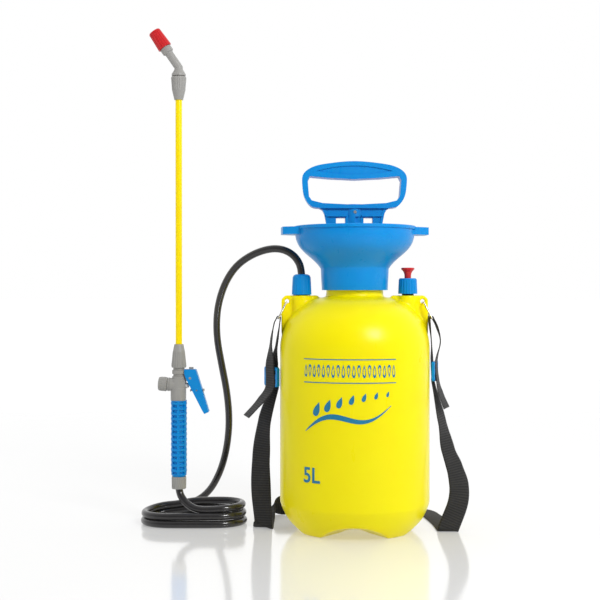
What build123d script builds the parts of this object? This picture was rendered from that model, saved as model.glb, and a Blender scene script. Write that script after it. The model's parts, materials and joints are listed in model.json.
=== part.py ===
from build123d import *
import math
import os

# Five litre garden pump sprayer: tank, funnel, piston pump, relief valve, hose, wand and carrying strap.
# Lengths are in millimetres. The origin is on the floor under the tank's axis, +Z is up and -Y is the front.

# ---- Driving dimensions ----
TANK_R = 90.0
TANK_WALL = 2.5
TANK_STRAIGHT_Z0 = 34.0
TANK_STRAIGHT_Z1 = 218.0
BASE_FLOOR_R = 71.0
SHOULDER_R = 30.0
SHOULDER_RISE = 62.0
NECK_R = 34.3
NECK_BORE_R = 31.0
NECK_TOP_Z = 314.4
PORT_X = 64.0
PORT_TOP_Z = 281.8
PORT_BORE_R = 7.2
LUG_HOLE_X = 81.6
LUG_HOLE_Z = 274.6
LUG_HOLE_R = 2.9
LUG_HALF_THICK = 3.0
BASE_TURN = -3.0

FUNNEL_FLOOR_Z = 320.0
FUNNEL_MOUTH_R = 30.0
FUNNEL_RIM_Z = 364.7
FUNNEL_TURN = 6.0

BARREL_R = 20.0
BARREL_BORE_R = 18.0
BARREL_Z0 = 118.0
ROD_R = 6.0
ROD_TOP_Z = 386.0
HANDLE_FOOT_Z = 346.0
HANDLE_PIN_Z = 381.6
HANDLE_PIN_R = 1.8
HANDLE_X = -0.8

WAND_X = -214.2
WAND_Y = 20.0
LANCE_R = 4.0
VALVE_AXIS_Z = 172.0
VALVE_TILT = 4.0
TRIGGER_PIVOT = (-200.2, 180.6)
LOCK_PIVOT = (-192.2, 165.6)
NOZZLE_BEND_Z = 559.9
NOZZLE_TILT = 34.4

HOSE_R = 4.5
STRAP_WIDTH = 25.0
STRAP_THICK = 1.5
HOOK_BAR_Y = 22.9
ADJUSTER_HALF_THICK = 1.9
PLY_REACH = 2.75
FOLD_REACH = 1.25

# Hose between its tank nut and its coil, point by point. It climbs out of the nut, arches over to the
# left, comes down behind the coil, turns round on the floor and runs into the coil's back.
HOSE_RUN = [
    (-64.0, 0.0, 300.0),
    (-64.0, 0.0, 314.5),
    (-70.8, 1.0, 327.6),
    (-81.8, 3.5, 335.8),
    (-95.0, 8.0, 338.8),
    (-110.0, 14.0, 336.9),
    (-126.5, 22.0, 330.6),
    (-142.5, 31.0, 320.0),
    (-155.0, 39.5, 304.5),
    (-164.5, 48.0, 284.0),
    (-170.5, 57.0, 259.0),
    (-171.0, 65.5, 228.0),
    (-165.5, 74.5, 194.0),
    (-159.0, 83.0, 158.0),
    (-156.5, 91.5, 122.0),
    (-159.5, 99.5, 90.0),
    (-166.0, 107.0, 62.5),
    (-175.0, 114.0, 41.0),
    (-185.0, 122.0, 25.0),
    (-199.0, 129.5, 12.5),
    (-216.5, 131.0, 6.0),
    (-232.0, 122.5, 4.6),
    (-241.0, 107.0, 4.6),
    (-241.0, 89.5, 4.6),
    (-231.5, 74.5, 4.6),
    (-215.5, 67.0, 4.6),
    (-197.5, 66.5, 4.6),
    (-179.0, 65.5, 4.6),
]

# Hose between the coil's front and the wand's nut.
HOSE_TAIL = [
    (-180.0, 7.0, 22.3),
    (-192.5, 8.3, 22.5),
    (-203.5, 12.4, 26.6),
    (-211.0, 17.2, 34.0),
    (-214.2, 20.0, 42.0),
    (-214.2, 20.0, 50.0),
]

# The coil is a long oval of three turns, taller at its right end.
COIL_CENTRE = (-196.7, 33.0)
COIL_HALF_LENGTH = 66.6
COIL_HALF_DEPTH = 35.5
COIL_BAND = 11.0
COIL_HEIGHT = 22.5


# ---- Helpers ----
def turned(points):
    """A full turn about Z of the closed outline through (radius, height) points."""
    return revolve(Plane.XZ * make_face(Polyline(*points, close=True)), Axis.Z)


def ring(inner, outer, z0, z1):
    """A plain ring about Z."""
    return turned([(inner, z0), (outer, z0), (outer, z1), (inner, z1)])


def rod(radius, z0, z1):
    """A plain round bar along Z."""
    return Pos(0, 0, z0) * Cylinder(radius, z1 - z0, align=(Align.CENTER, Align.CENTER, Align.MIN))


def block(x0, x1, y0, y1, z0, z1):
    """A box between two corners."""
    middle = Pos((x0 + x1) / 2, (y0 + y1) / 2, (z0 + z1) / 2)
    return middle * Box(x1 - x0, y1 - y0, z1 - z0)


def around(count, shape, start=0.0):
    """Copies of a shape evenly spaced about Z."""
    return [Rot(0, 0, start + 360.0 * i / count) * shape for i in range(count)]


def fluted(points, flutes, depth, z0, z1, r0, r1):
    """A turned body with shallow round flutes that follow its taper between two heights."""
    body = turned(points)
    cutter_r = 1.15
    reach = cutter_r - depth
    lean = math.degrees(math.atan2(r1 - r0, z1 - z0))
    cutter = Pos(r0 + reach, 0, z0) * Rot(0, lean, 0) * rod(cutter_r, 0, z1 - z0)
    for cut in around(flutes, cutter):
        body = body - cut
    return body


def tube(route, radius, name):
    """A round tube along straight runs joined by arcs as large as the runs allow."""
    corners = [Vector(*p) for p in route]
    radii = []
    for before, here, after in zip(corners, corners[1:], corners[2:]):
        turn = math.radians((here - before).get_angle(after - here))
        shorter = min((here - before).length, (after - here).length)
        radii.append(0.45 * shorter / math.tan(turn / 2))
    path = FilletPolyline(*corners, radius=radii)
    start = Plane(origin=corners[0], z_dir=corners[1] - corners[0])
    solid = sweep(start * Circle(radius), path=path)
    section = math.pi * radius**2 * path.length
    print(name, "radii", [round(r) for r in radii], "length", round(path.length, 1),
          "volume share", round(solid.volume / section, 3))
    return solid


def wire_bend(route, wire_r, bend_r):
    """Bent wire with one bend radius."""
    path = FilletPolyline(*[Vector(*p) for p in route], radius=bend_r)
    start = Plane(origin=Vector(*route[0]), z_dir=Vector(*route[1]) - Vector(*route[0]))
    return sweep(start * Circle(wire_r), path=path)


def coil_spring(radius, wire_r, z0, z1, turns):
    """An open helical spring about Z."""
    height = z1 - z0 - 2 * wire_r
    path = Helix(pitch=height / turns, height=height, radius=radius)
    start = Plane(origin=path @ 0, z_dir=path % 0)
    return Pos(0, 0, z0 + wire_r) * sweep(start * Circle(wire_r), path=path, is_frenet=True)


def webbing(stations):
    """Flat webbing through (centre, width direction) stations, as flat-sided spans."""
    centres = [Vector(*c) for c, _ in stations]
    sections = []
    for i, (_, across) in enumerate(stations):
        ahead = centres[min(i + 1, len(centres) - 1)] - centres[i]
        behind = centres[i] - centres[max(i - 1, 0)]
        tangent = (ahead.normalized() if ahead.length else Vector(0, 0, 0)) + (
            behind.normalized() if behind.length else Vector(0, 0, 0))
        tangent = tangent.normalized()
        width = Vector(*across)
        width = (width - tangent * width.dot(tangent)).normalized()
        plane = Plane(origin=centres[i], x_dir=width, z_dir=tangent)
        sections.append(plane * Rectangle(STRAP_WIDTH, STRAP_THICK))
    return loft(sections, ruled=True)


def save(name, shape):
    """Write one sub-part."""
    export_step(shape, f"parts/{name}.step")


# ---- Tank ----
def tank_outline(inset):
    """The tank's turned body, drawn in by an inset for its hollow."""
    side = TANK_R - inset
    foot_r = BASE_FLOOR_R - 0.4 * inset
    bulge = ThreePointArc((foot_r, inset), (81.2 - 0.8 * inset, 14.0 + 0.6 * inset), (side, TANK_STRAIGHT_Z0))
    wall = Line((side, TANK_STRAIGHT_Z0), (side, TANK_STRAIGHT_Z1))
    shoulder = EllipticalCenterArc(
        (SHOULDER_R, TANK_STRAIGHT_Z1), TANK_R - SHOULDER_R - inset, SHOULDER_RISE - inset, 0, arc_size=90)
    top_z = TANK_STRAIGHT_Z1 + SHOULDER_RISE - inset
    lid = Polyline((SHOULDER_R, top_z), (0, top_z), (0, inset), (foot_r, inset))
    return revolve(Plane.XZ * make_face([bulge, wall, shoulder, lid]), Axis.Z)


def base_valleys(extra):
    """Four valleys under the tank that leave four feet: a low tunnel and a widening mouth each."""
    tunnel_r = 30.0
    tunnel_rise = 3.4
    tunnel_tilt = 3.0
    inner_x, inner_r, inner_z = 20.0, 25.0, -22.0
    outer_x, outer_r, outer_z = 96.0, 120.0, -101.0
    tunnel = Pos(0, 0, tunnel_rise - tunnel_r) * Rot(0, 90 - tunnel_tilt, 0) * rod(tunnel_r + extra, -6, 80)
    ends = []
    for x, radius, z in ((inner_x, inner_r, inner_z), (outer_x, outer_r, outer_z)):
        ends.append(Plane(origin=(x, 0, z), z_dir=(1, 0, 0)) * Circle(radius + extra))
    mouth = loft(ends, ruled=True)
    return around(4, tunnel + mouth, BASE_TURN)


def make_tank():
    """Blow-moulded tank with neck, two port bosses, two strap lugs and four feet."""
    body = tank_outline(0)
    for side in (-1, 1):
        boss = Pos(side * PORT_X, 0, 0) * rod(12.0, 245, PORT_TOP_Z)
        lug_outline = Polyline((44, 236), (88.4, 236), (88.4, 277), (83.6, 281.8), (44, 281.8), close=True)
        lug = extrude(Plane.XZ * make_face(lug_outline), LUG_HALF_THICK, both=True)
        hole = Pos(LUG_HOLE_X, 0, LUG_HOLE_Z) * Rot(90, 0, 0) * Cylinder(LUG_HOLE_R, 20)
        lug = lug - hole
        if side < 0:
            lug = Rot(0, 0, 180) * lug
        body = body + boss + lug
    body = body + rod(NECK_R, 270, NECK_TOP_Z)
    hollow = tank_outline(TANK_WALL)
    for valley in base_valleys(0):
        body = body - valley
    for valley in base_valleys(TANK_WALL):
        hollow = hollow - valley
    body = body - hollow - rod(NECK_BORE_R, 250, NECK_TOP_Z + 1)
    for side in (-1, 1):
        body = body - Pos(side * PORT_X, 0, 0) * rod(PORT_BORE_R, 240, PORT_TOP_Z + 1)
    return body


def make_funnel():
    """Filling funnel with a screw collar below and two carrying ears at its rim."""
    flare = [(41.0, 313.8), (45.0, 319.2), (57.1, 330.3), (66.0, 339.3), (70.5, 348.2), (71.7, 356.0)]
    wall = 2.1
    outer = Spline(*flare)
    inner_points = [(r - wall * 0.9, z + wall * 0.62) for r, z in flare[1:5]]
    inner = Spline((71.7 - wall, 357.0), *reversed(inner_points), (42.6, FUNNEL_FLOOR_Z))
    edges = [
        Line((NECK_R + 0.1, 288.0), (39.7, 288.0)),
        Line((39.7, 288.0), flare[0]),
        outer,
        Polyline(flare[-1], (71.7, 360.5), (73.4, 360.9), (73.4, 364.1), (72.8, FUNNEL_RIM_Z)),
        Polyline((72.8, FUNNEL_RIM_Z), (69.9, FUNNEL_RIM_Z), (71.7 - wall, 357.0)),
        inner,
        Polyline((42.6, FUNNEL_FLOOR_Z), (FUNNEL_MOUTH_R, FUNNEL_FLOOR_Z), (FUNNEL_MOUTH_R, 316.0),
                 (NECK_R + 0.1, 316.0), (NECK_R + 0.1, 288.0)),
    ]
    body = revolve(Plane.XZ * make_face(edges), Axis.Z)
    ear_outline = Polyline((60, -24), (72, -22), (88.4, -13), (88.4, 13), (72, 22), (60, 24), close=True)
    ear = Pos(0, 0, 354.5) * extrude(make_face(ear_outline), 9.0)
    ear = fillet(ear.edges().filter_by(Axis.Z).group_by(Axis.X)[-1], 3.0)
    hollow = rod(71.0, 350, 366)
    for side in (0, 180):
        body = body + (Rot(0, 0, side) * ear - hollow)
    return Rot(0, 0, FUNNEL_TURN) * body


# ---- Ports on the tank's shoulder ----
def make_outlet():
    """Hose outlet on the left: fitting, gasket, nut, dip tube and strainer."""
    here = Pos(-PORT_X, 0, 0)
    gasket_top = PORT_TOP_Z + 1.0
    fitting = turned([(3.0, 262), (PORT_BORE_R - 0.1, 262), (PORT_BORE_R - 0.1, gasket_top), (10.4, gasket_top),
                      (10.4, 285), (8.5, 285), (8.5, 294), (3.4, 294.5), (3.4, 300), (2.2, 300), (2.2, 285),
                      (3.0, 284)])
    fitting = fitting - rod(4.0, 261, 270)
    save("outlet_fitting", here * fitting)
    save("outlet_gasket", here * ring(PORT_BORE_R, 10.3, PORT_TOP_Z, gasket_top))
    outline = [(10.6, 282.6), (11.95, 282.6), (10.9, 303.2), (9.6, 305.9), (7.0, 307.2), (4.9, 307.2),
               (4.9, 300.5), (8.6, 294.6), (8.6, 285.2), (10.6, 285.2)]
    save("hose_nut", here * fluted(outline, 20, 0.5, 282.0, 304.5, 11.95, 10.9))
    tube_z0 = 36.0
    save("dip_tube", here * ring(2.8, 4.0, tube_z0, 270.0))
    strainer = turned([(0, 26), (6, 26), (6, 42), (4.0, 42), (4.0, 28), (0, 28)])
    slot = block(4.5, 7, -0.8, 0.8, 29, 35)
    for cut in around(8, slot):
        strainer = strainer - cut
    save("inlet_strainer", here * strainer)


def make_relief():
    """Pressure relief valve on the right: body, nut, pull knob, seal and spring."""
    here = Pos(PORT_X, 0, 0)
    body = turned([(2.5, 262), (PORT_BORE_R - 0.1, 262), (PORT_BORE_R - 0.1, PORT_TOP_Z), (6.3, PORT_TOP_Z),
                   (6.3, 284.2), (8.5, 284.2), (8.5, 298), (5.0, 298), (5.0, 270), (2.5, 270)])
    save("relief_body", here * body)
    save("relief_gasket", here * ring(6.3, 7.1, PORT_TOP_Z, 284.2))
    outline = [(8.6, 283.6), (11.6, 283.6), (10.8, 300.6), (9.8, 302.3), (4.1, 302.3), (4.1, 298.2),
               (8.6, 298.2)]
    save("relief_nut", here * fluted(outline, 20, 0.5, 283.0, 301.0, 11.6, 10.8))
    knob = turned([(0, 273.4), (4.9, 273.4), (4.9, 278), (4.0, 278), (4.0, 305.5), (4.4, 308), (5.4, 310.3),
                   (7.2, 312.3), (8.1, 313.3), (8.1, 314.3), (7.2, 315.0), (0, 315.0)])
    save("relief_knob", here * knob)
    save("relief_seal", here * rod(4.3, 270.1, 273.4))
    save("relief_spring", here * coil_spring(4.55, 0.28, 278.1, 298.1, 7))


# ---- Pump ----
def lock_hook():
    """One hook over the flange that holds the handle's lug down."""
    outline = Polyline((39.6, 325.5), (42.0, 325.5), (42.0, 354.2), (36.2, 354.2), (36.2, 350.9), (39.6, 350.9),
                       close=True)
    arc = 20.0
    face = Plane.XZ * make_face(outline)
    return Rot(0, 0, -60 - arc / 2) * revolve(face, Axis.Z, arc)


def make_pump():
    """Piston pump that hangs in the tank's neck."""
    barrel = turned([(0, BARREL_Z0), (BARREL_R, BARREL_Z0), (BARREL_R, 318), (BARREL_BORE_R, 318),
                     (BARREL_BORE_R, BARREL_Z0 + 3), (0, BARREL_Z0 + 3)])
    barrel = barrel - rod(2.2, BARREL_Z0 - 1, BARREL_Z0 + 4)
    for hole in around(6, Pos(8, 0, 0) * rod(1.8, BARREL_Z0 - 1, BARREL_Z0 + 4)):
        barrel = barrel - hole
    save("pump_barrel", barrel)
    valve = turned([(0, 116.0), (11.5, 117.3), (12.0, BARREL_Z0), (2.1, BARREL_Z0), (2.1, BARREL_Z0 + 3.1),
                    (3.0, BARREL_Z0 + 3.1), (2.0, BARREL_Z0 + 5.0), (0, BARREL_Z0 + 5.0)])
    save("check_valve", valve)
    cap = turned([(9.0, 326), (9.0, 344.5), (15.0, 344.5), (16.5, 326), (42.0, 326), (42.0, 320.4), (37.2, 320.4),
                  (37.2, 322.6), (32.8, 322.6), (32.8, 320.4), (29.7, 320.4), (29.7, 298), (BARREL_R, 298),
                  (BARREL_R, 318), (6.4, 318), (6.4, 326)])
    for side in (0, 180):
        cap = cap + Rot(0, 0, side) * lock_hook()
    save("pump_cap", cap)
    save("pump_gasket", ring(33.0, 37.0, 320.1, 322.6))
    save("rod_bush", ring(ROD_R + 0.08, 9.0, 326, 344.5))
    pin_hole = Pos(0, 0, HANDLE_PIN_Z) * Rot(90, 0, 0) * Cylinder(HANDLE_PIN_R, 40)
    save("piston_rod", ring(3.6, ROD_R, 144, ROD_TOP_Z) - pin_hole)
    piston = turned([(2.5, 128), (16.0, 128), (17.6, 129.2), (17.6, 130.7), (15.0, 130.7), (15.0, 135.3),
                     (17.6, 135.3), (17.6, 141), (12, 144), (2.5, 144)])
    save("piston", piston)
    save("piston_screw", turned([(0, 125.4), (4.0, 125.4), (5.0, 126.4), (5.0, 128), (2.5, 128), (2.5, 152), (0, 152)]))
    save("piston_oring", ring(15.06, BARREL_BORE_R - 0.05, 131.2, 134.8))


def make_handle():
    """D-shaped pump handle with a slim web, two legs and a centre boss for the rod."""
    top = Spline((0, 442.3), (31.8, 439.6), (54.0, 433.4), (61.6, 426.0), (62.4, 414.0), (59.2, 398.0),
                 (51.5, 388.4), (42.5, 386.6), tangents=[(1, 0), (-1, -0.05)])
    foot = Polyline((42.5, 386.6), (38.4, 384.2), (36.0, 379.5), (33.9, 369), (33.9, HANDLE_FOOT_Z),
                    (0, HANDLE_FOOT_Z), (0, 442.3))
    half = Plane.XZ * make_face([top, foot])
    grip_half_depth = 12.0
    web_half_depth = 8.0
    thick = extrude(half, grip_half_depth, both=True)
    thick = thick & block(0, 70, -20, 20, 386.0, 445)
    thin = extrude(half, web_half_depth, both=True) & block(0, 70, -20, 20, HANDLE_FOOT_Z, 386.4)
    gap = Polyline((-1, 420.8), (31.8, 422.4), (53.4, 424.4), (56.0, 419.5), (54.4, 400.2), (51.0, 395.4), (38, 392.2),
                   (-1, 390.2), close=True)
    gap_cut = extrude(Plane.XZ * make_face(gap), 20, both=True)
    gap_cut = fillet(gap_cut.edges().filter_by(Axis.Y).group_by(Axis.X)[-1], 2.0)
    thick = thick - gap_cut
    window = block(11, 22, -20, 20, 368, 375)
    leg_rib = Polyline((42.5, 386.6), (38.4, 384.2), (36.0, 379.5), (33.9, 369), (33.9, HANDLE_FOOT_Z), (31.0, HANDLE_FOOT_Z),
                       (31.0, 370), (33.0, 380), (35.4, 386.6), close=True)
    leg_rib = extrude(Plane.XZ * make_face(leg_rib), 9.0, both=True)
    shelf = block(9, 34, -10.4, 10.4, 376.2, 378.4)
    side = thick + (thin - window) + leg_rib + shelf
    lug = block(33.0, 38.0, -4.0, 4.0, HANDLE_FOOT_Z + 0.2, 350.0)
    side = side + lug
    handle = side + mirror(side, Plane.YZ)
    boss = rod(11.0, HANDLE_FOOT_Z, 391)
    handle = handle + boss
    lens = ThreePointArc((-45.7, 430.5), (0, 436.9), (45.7, 430.5)).edges() + ThreePointArc(
        (45.7, 430.5), (0, 426.6), (-45.7, 430.5)).edges()
    pocket = extrude(Plane.XZ * make_face(lens), 20, both=True)
    handle = handle - (pocket - block(-60, 60, -10.3, 10.3, 410, 450))
    key_pocket = block(1.2, 7.4, -12, -7.6, 369.5, 376.0)
    handle = Pos(HANDLE_X, 0, 0) * (handle - key_pocket)
    pin_hole = Pos(0, 0, HANDLE_PIN_Z) * Rot(90, 0, 0) * Cylinder(HANDLE_PIN_R, 40)
    handle = handle - rod(ROD_R, HANDLE_FOOT_Z - 1, ROD_TOP_Z) - pin_hole
    save("pump_handle", handle)
    save("handle_pin", Pos(0, 0, HANDLE_PIN_Z) * Rot(90, 0, 0) * Cylinder(HANDLE_PIN_R, 22.8))


# ---- Wand ----
def at_wand(shape):
    """Move a shape from its own axis to the wand's axis."""
    return Pos(WAND_X, WAND_Y, 0) * shape


def along_valve(shape):
    """Lay a shape that was built along Z on the valve's tilted cross axis, +Z towards the trigger."""
    return Pos(WAND_X, WAND_Y, VALVE_AXIS_Z) * Rot(0, 90 + VALVE_TILT, 0) * shape


def along_nozzle(shape):
    """Lay a shape that was built along Z on the nozzle's axis, measured from the elbow's bend."""
    return Pos(WAND_X, WAND_Y, NOZZLE_BEND_Z) * Rot(0, -NOZZLE_TILT, 0) * shape


def make_grip():
    """Grip: hose nut, inner tube and ribbed sleeve."""
    nut = [(4.9, 45.2), (8.3, 45.2), (8.8, 46.2), (9.0, 58.6), (8.6, 60.0), (6.0, 60.0), (6.0, 47.2), (4.9, 47.2)]
    save("wand_hose_nut", at_wand(fluted(nut, 22, 0.4, 44.0, 61.0, 8.8, 9.0)))
    core = turned([(2.2, 50), (3.2, 50), (3.4, 55), (5.95, 55), (5.95, 60.0), (5.0, 60.0), (5.0, 153.2), (2.2, 153.2)])
    save("grip_tube", at_wand(core))
    core_r = 7.6
    sleeve = turned([(5.0, 60.2), (7.9, 60.2), (9.4, 62.4), (9.4, 63.6), (core_r, 64.0), (core_r, 151.6), (9.6, 152.0),
                     (9.8, 153.2), (5.0, 153.2)])
    rib_pitch = 6.3
    rib = turned([(7.4, -2.0), (core_r, -2.0), (9.8, -1.4), (9.8, 1.4), (core_r, 2.0), (7.4, 2.0)])
    for i in range(14):
        sleeve = sleeve + Pos(0, 0, 68.0 + i * rib_pitch) * rib
    bar = block(7.0, 9.5, -1.6, 1.6, 62.8, 152.8)
    for copy in around(6, bar, 30):
        sleeve = sleeve + copy
    save("grip_sleeve", at_wand(sleeve))


def make_valve_body():
    """Valve body with its cross chamber, trigger ear and lance spigot."""
    upright = turned([(0, 153.2), (9.9, 153.2), (10.2, 154.2), (10.2, 167.0), (9.2, 168.6), (9.2, 178.5), (8.3, 179.4),
                      (8.3, 182.6), (6.9, 183.0), (6.9, 185.4), (8.3, 185.8), (8.3, 190.2), (6.9, 190.6), (6.9, 193.0),
                      (6.4, 193.2), (6.4, 204.0), (0, 204.0)])
    flats = extrude(RegularPolygon(9.9, 8, major_radius=False, rotation=22.5), 12.6)
    upright = upright - (ring(0.1, 12, 154.4, 167.0) - Pos(0, 0, 154.4) * flats)
    body = at_wand(upright) + along_valve(rod(8.0, -11.3, 8.0))
    pivot_x, pivot_z = TRIGGER_PIVOT
    ear = block(-210, -196.4, WAND_Y - 3, WAND_Y + 3, pivot_z, 194.0)
    ear = ear + block(-210, pivot_x, WAND_Y - 3, WAND_Y + 3, 177.6, 184.0)
    ear = ear + Pos(pivot_x, WAND_Y, pivot_z) * Rot(90, 0, 0) * Cylinder(5.4, 6.0)
    ear = ear - at_wand(rod(6.6, 170, 200)) - at_wand(rod(9.6, 192.8, 200)) - block(-211, -201.6, 0, 40, 191.4, 196)
    body = body + ear
    body = body - block(-205.8, -190, 0, 40, 152, 168.4)
    body = body - Pos(pivot_x, WAND_Y, pivot_z) * Rot(90, 0, 0) * Cylinder(1.5, 30)
    body = body - along_valve(rod(5.0, -12, 2.0)) - along_valve(rod(2.6, 1.0, 12)) - along_valve(rod(3.9, 4.6, 20))
    body = body - at_wand(rod(2.4, 150, 172)) - at_wand(rod(2.4, 176.8, 206)) - at_wand(rod(LANCE_R, 197, 206))
    return body


def make_valve():
    """Trigger valve: body, cap, spring and plunger with its seals."""
    save("valve_body", make_valve_body())
    cap = [(6.2, -25.2), (7.9, -24.5), (8.6, -22.6), (8.75, -15.2), (8.3, -14.6), (7.2, -14.4), (7.2, -13.6),
           (8.3, -13.4), (8.3, -11.5), (6.9, -11.5), (6.9, -12.6), (5.1, -12.6), (5.1, -11.5), (4.9, -11.4),
           (4.9, -7.6), (4.1, -7.6), (4.1, -21.5), (0, -21.5), (0, -25.2)]
    cap = fluted(cap, 20, 0.4, -24.0, -14.6, 8.55, 8.75)
    save("valve_cap", along_valve(cap))
    save("valve_cap_oring", along_valve(ring(5.1, 6.9, -12.6, -11.35)))
    stem = turned([(0, -6.5), (1.8, -6.5), (1.8, -3.0), (4.2, -3.0), (4.2, 0.0), (2.5, 0.0), (2.5, 2.9), (2.0, 2.9),
                   (2.0, 4.3), (2.5, 4.3), (2.5, 7.2), (3.5, 7.2), (3.5, 9.35), (3.35, 10.4), (2.8, 11.5),
                   (1.9, 12.3), (0.9, 12.75), (0, 12.85)])
    save("plunger", along_valve(stem))
    save("plunger_seal", along_valve(ring(2.5, 4.5, 0.0, 1.85)))
    save("plunger_oring", along_valve(ring(2.0, 2.55, 2.95, 4.25)))
    save("valve_spring", along_valve(coil_spring(3.2, 0.4, -21.4, -3.05, 7)))


def make_trigger():
    """Trigger lever with its pin and swinging lock ring."""
    pivot_x, pivot_z = TRIGGER_PIVOT
    outline = Polyline((-208, 191.3), (-193, 191.3), (-186.5, 170.7), (-177.1, 139.5), (-182.7, 137.0),
                       (-185.1, 140.8), (-205.8, 181.4), (-208, 189.4), close=True)
    lever = Pos(0, WAND_Y, 0) * extrude(Plane.XZ * make_face(outline), 6.6, both=True)
    lever = fillet(lever.edges().filter_by(Axis.Y), 0.9)
    slot = block(-215, -195.6, WAND_Y - 3.3, WAND_Y + 3.3, pivot_z, 200)
    slot = slot + Pos(pivot_x, WAND_Y, pivot_z) * Rot(90, 0, 0) * Cylinder(6.0, 6.6)
    slot = slot + block(-215, pivot_x, WAND_Y - 3.3, WAND_Y + 3.3, 174.9, 186)
    spigot_room = at_wand(rod(9.7, 174, 200))
    lever = lever - slot - spigot_room
    lever = lever - Pos(pivot_x, WAND_Y, pivot_z) * Rot(90, 0, 0) * Cylinder(1.58, 40)
    lock_x, lock_z = LOCK_PIVOT
    lever = lever - Pos(lock_x, WAND_Y, lock_z) * Rot(90, 0, 0) * Cylinder(1.06, 40)
    save("trigger", lever)
    save("trigger_pin", Pos(pivot_x, WAND_Y, pivot_z) * Rot(90, 0, 0) * Cylinder(1.5, 12.4))
    clip = block(-7.9, 8.8, 7.1, 8.3, -1.3, 1.3)
    clip = clip + block(-7.9, -7.0, -6.4, 8.3, -1.3, 1.3) + block(7.9, 8.8, -6.4, 8.3, -1.3, 1.3)
    clip = clip + Pos(0, 0.8, 0) * Rot(90, 0, 0) * Cylinder(1.0, 13.4)
    save("trigger_lock", Pos(lock_x, WAND_Y, lock_z) * clip)


def make_lance():
    """Lance tube with a nut and seal at each end."""
    lower = [(6.5, 193.5), (8.9, 193.5), (9.2, 196.0), (7.5, 212.6), (5.6, 221.9), (LANCE_R + 0.05, 221.9),
             (LANCE_R + 0.05, 208), (6.5, 205.6)]
    save("lance_nut", at_wand(fluted(lower, 18, 0.45, 192.5, 213.0, 9.35, 7.45)))
    save("lance_seal", at_wand(ring(LANCE_R, 6.0, 204.1, 205.4)))
    save("lance_tube", at_wand(ring(2.6, LANCE_R, 197, 545)))
    upper = [(LANCE_R + 0.05, 520.3), (5.3, 520.3), (8.1, 532.0), (9.3, 547.0), (9.0, 548.4), (6.5, 548.4), (6.5, 536.4),
             (LANCE_R + 0.05, 534.4)]
    save("elbow_nut", at_wand(fluted(upper, 18, 0.45, 531.5, 549.5, 8.1, 9.45)))
    save("elbow_seal", at_wand(ring(LANCE_R, 6.0, 536.4, 537.9)))
    upright = turned([(2.2, 538), (6.4, 538), (6.4, 548.6), (8.5, 549.8), (8.5, 552.0), (7.6, 553.4), (5.0, 558.0),
                      (5.0, NOZZLE_BEND_Z), (2.2, NOZZLE_BEND_Z)])
    reach = turned([(0, 0), (5.0, 0), (5.0, 21), (7.0, 22.5), (7.0, 29.0), (5.9, 29.0), (5.9, 39.0), (0, 39.0)])
    elbow = at_wand(upright) + along_nozzle(reach) + Pos(WAND_X, WAND_Y, NOZZLE_BEND_Z) * Sphere(5.0)
    elbow = elbow - along_nozzle(rod(2.2, 0, 40)) - at_wand(rod(2.2, 530, NOZZLE_BEND_Z))
    elbow = elbow - at_wand(rod(LANCE_R, 537, 545)) - along_nozzle(ring(5.0, 7.0, 34.0, 36.0))
    save("elbow", elbow)


def make_nozzle():
    """Adjustable cone nozzle."""
    core = turned([(0, 36.5), (2.2, 36.5), (2.2, 39.0), (3.4, 39.0), (3.4, 42.0), (2.4, 42.8), (0, 42.8)])
    groove = block(1.2, 5, -0.5, 0.5, 36, 44)
    for cut in around(2, groove):
        core = core - cut
    save("nozzle_core", along_nozzle(core))
    save("nozzle_oring", along_nozzle(ring(5.0, 5.95, 34.2, 35.8)))
    disc = turned([(0.8, 44.0), (3.92, 44.0), (3.92, 45.2), (0.8, 45.2)])
    save("spray_disc", along_nozzle(disc))
    outline = [(6.0, 29.4), (8.3, 29.4), (8.75, 30.0), (7.6, 52.2), (6.9, 53.1), (3.4, 53.1), (1.0, 50.2), (0.9, 45.5),
               (4.0, 45.5), (4.0, 43.4), (6.0, 42.8)]
    save("nozzle_cap", along_nozzle(fluted(outline, 16, 0.5, 28.5, 51.0, 8.8, 7.65)))


# ---- Strap and its hardware ----
def hook_frame(side):
    """Where a strap hook hangs: a plane through the lug's hole, x to the rear and y down the hook."""
    origin = Vector(side * LUG_HOLE_X, 0, LUG_HOLE_Z)
    down = Vector(side * 0.4524, 0, -0.8918)
    return Plane(origin=origin, x_dir=(0, 1, 0), z_dir=Vector(0, 1, 0).cross(down))


def make_hook(side, name):
    """Wire hook with a sprung gate, hung in a lug."""
    frame = hook_frame(side)
    route = [(9.6, 1.55), (-9.6, 1.55), (-15.6, HOOK_BAR_Y), (15.6, HOOK_BAR_Y), (14.6, 19.4)]
    world = [tuple(frame.from_local_coords(Vector(v, w, 0))) for v, w in route]
    save(f"{name}_hook", wire_bend(world, 1.1, 1.6))
    gate = [tuple(frame.from_local_coords(Vector(v, w, 0))) for v, w in ((14.3, 17.9), (10.6, 3.0))]
    axis = Vector(*gate[1]) - Vector(*gate[0])
    bar = extrude(Plane(origin=Vector(*gate[0]), z_dir=axis) * Circle(0.85), axis.length)
    eye = extrude(Plane(origin=Vector(*gate[0]), z_dir=frame.z_dir) * Circle(1.05), 1.3, both=True)
    save(f"{name}_gate", bar + eye)


def make_adjuster(centre, across, name):
    """Three-bar strap adjuster."""
    frame = Plane(origin=Vector(*centre), x_dir=Vector(*across), z_dir=Vector(*across).cross(Vector(0, 0, 1)))
    plate = extrude(RectangleRounded(34.4, 23.5, 3.0), ADJUSTER_HALF_THICK, both=True)
    slot = Box(26.0, 5.6, 10)
    plate = plate - Pos(0, 5.4, 0) * slot - Pos(0, -5.4, 0) * slot
    save(f"{name}_adjuster", frame.location * plate)


def leaning(degrees_from_x, lean=0.0):
    """A width direction: turned about Z from +X, then raised out of the floor plane."""
    a = math.radians(degrees_from_x)
    b = math.radians(lean)
    return (math.cos(a) * math.cos(b), math.sin(a) * math.cos(b), math.sin(b))


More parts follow.
